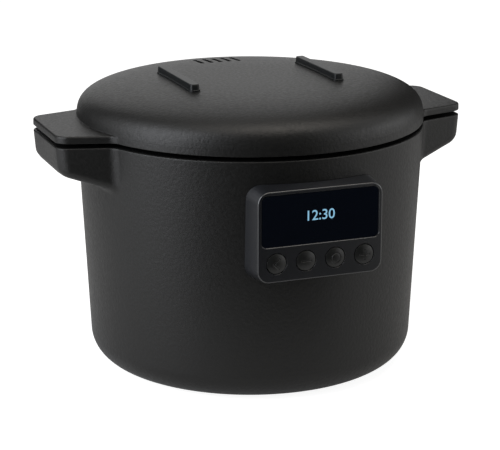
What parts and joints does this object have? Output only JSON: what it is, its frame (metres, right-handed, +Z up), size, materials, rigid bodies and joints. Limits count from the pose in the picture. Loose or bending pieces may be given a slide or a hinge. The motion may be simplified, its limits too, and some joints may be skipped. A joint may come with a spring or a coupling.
{
  "type": "multicooker",
  "caption": "Round electric pot cooker with a tapered body, two side ears, a domed lift-off lid with rest rails, a removable inner pot and a front control pod.",
  "frame": {"origin": "on the table under the middle of the whole outline, 4.55 mm in front of the pot's axis", "axes": "+Z up, the control pod faces -Y, +X is to the right seen from the front"},
  "size_m": [0.338, 0.289, 0.2374],
  "materials": {
    "body_moulding": "matt black, fine-grained",
    "trim_moulding": "satin black moulding",
    "display_glass": "glossy smoked window with pale blue digits",
    "button_moulding": "satin dark grey with an embossed symbol",
    "pot_coating": "non-stick coating on aluminium",
    "sheet_steel": "pressed steel sheet",
    "cast_aluminium": "cast and turned",
    "zinc_steel": "zinc-plated steel",
    "silicone": "matt grey silicone rubber",
    "foot_rubber": "matt black rubber",
    "circuit_board": "solder-masked glass laminate",
    "component": "moulded component case",
    "copper_winding": "lacquered copper winding",
    "pin_brass": "drawn brass",
    "lead_sleeve": "glass-fibre and silicone sleeving"
  },
  "bodies": {
    "base": {"outer_shell": "body_moulding", "top_collar": "trim_moulding", "inner_liner": "sheet_steel", "heating_plate": "cast_aluminium", "heating_element": "sheet_steel", "thermal_fuse": "component", "fuse_clip": "zinc_steel", "sensor_holder": "zinc_steel", "sensor_spring": "zinc_steel", "base_tray": "trim_moulding", "foot_1": "foot_rubber", "foot_2": "foot_rubber", "foot_3": "foot_rubber", "foot_4": "foot_rubber", "base_screw_1": "zinc_steel", "base_screw_2": "zinc_steel", "base_screw_3": "zinc_steel", "base_screw_4": "zinc_steel", "power_board": "circuit_board", "transformer": "copper_winding", "relay": "component", "capacitor": "component", "inlet_socket": "trim_moulding", "inlet_pin_live": "pin_brass", "inlet_pin_neutral": "pin_brass", "inlet_pin_earth": "pin_brass", "live_lead": "lead_sleeve", "neutral_lead": "lead_sleeve", "pod_housing": "trim_moulding", "display_lens": "display_glass", "display_module": "component", "control_board": "circuit_board", "pod_back": "trim_moulding", "pod_screw_left": "zinc_steel", "pod_screw_right": "zinc_steel", "ribbon_cable": "lead_sleeve", "tact_switch_1": "component", "tact_switch_2": "component", "tact_switch_3": "component", "tact_switch_4": "component"},
    "back_key": {"back_button": "button_moulding"},
    "minus_key": {"minus_button": "button_moulding"},
    "start_key": {"start_button": "button_moulding"},
    "plus_key": {"plus_button": "button_moulding"},
    "sensor": {"sensor_cap": "cast_aluminium"},
    "pot": {"inner_pot": "pot_coating"},
    "lid": {"lid_cover": "body_moulding", "lid_inner_plate": "sheet_steel", "lid_gasket": "silicone", "steam_vent": "trim_moulding", "lid_rail_left": "trim_moulding", "lid_rail_right": "trim_moulding", "lid_screw_1": "zinc_steel", "lid_screw_2": "zinc_steel", "lid_screw_3": "zinc_steel", "lid_screw_4": "zinc_steel"}
  },
  "joints": [
    {"name": "pot_lift", "type": "slide", "parent": "base", "child": "pot", "axis": [0, 0, 1], "range_m": [0, 0.16]},
    {"name": "lid_lift", "type": "slide", "parent": "pot", "child": "lid", "axis": [0, 0, 1], "range_m": [0, 0.12]},
    {"name": "back_press", "type": "slide", "parent": "base", "child": "back_key", "axis": [0, 1, 0], "range_m": [0, 0.0008], "stiffness_N_per_m": 600},
    {"name": "minus_press", "type": "slide", "parent": "base", "child": "minus_key", "axis": [0, 1, 0], "range_m": [0, 0.0008], "stiffness_N_per_m": 600},
    {"name": "start_press", "type": "slide", "parent": "base", "child": "start_key", "axis": [0, 1, 0], "range_m": [0, 0.0008], "stiffness_N_per_m": 600},
    {"name": "plus_press", "type": "slide", "parent": "base", "child": "plus_key", "axis": [0, 1, 0], "range_m": [0, 0.0008], "stiffness_N_per_m": 600},
    {"name": "sensor_press", "type": "slide", "parent": "base", "child": "sensor", "axis": [0, 0, 1], "range_m": [-0.002, 0], "stiffness_N_per_m": 400, "springref_m": 0.002, "deforming": ["sensor_spring"]}
  ]
}
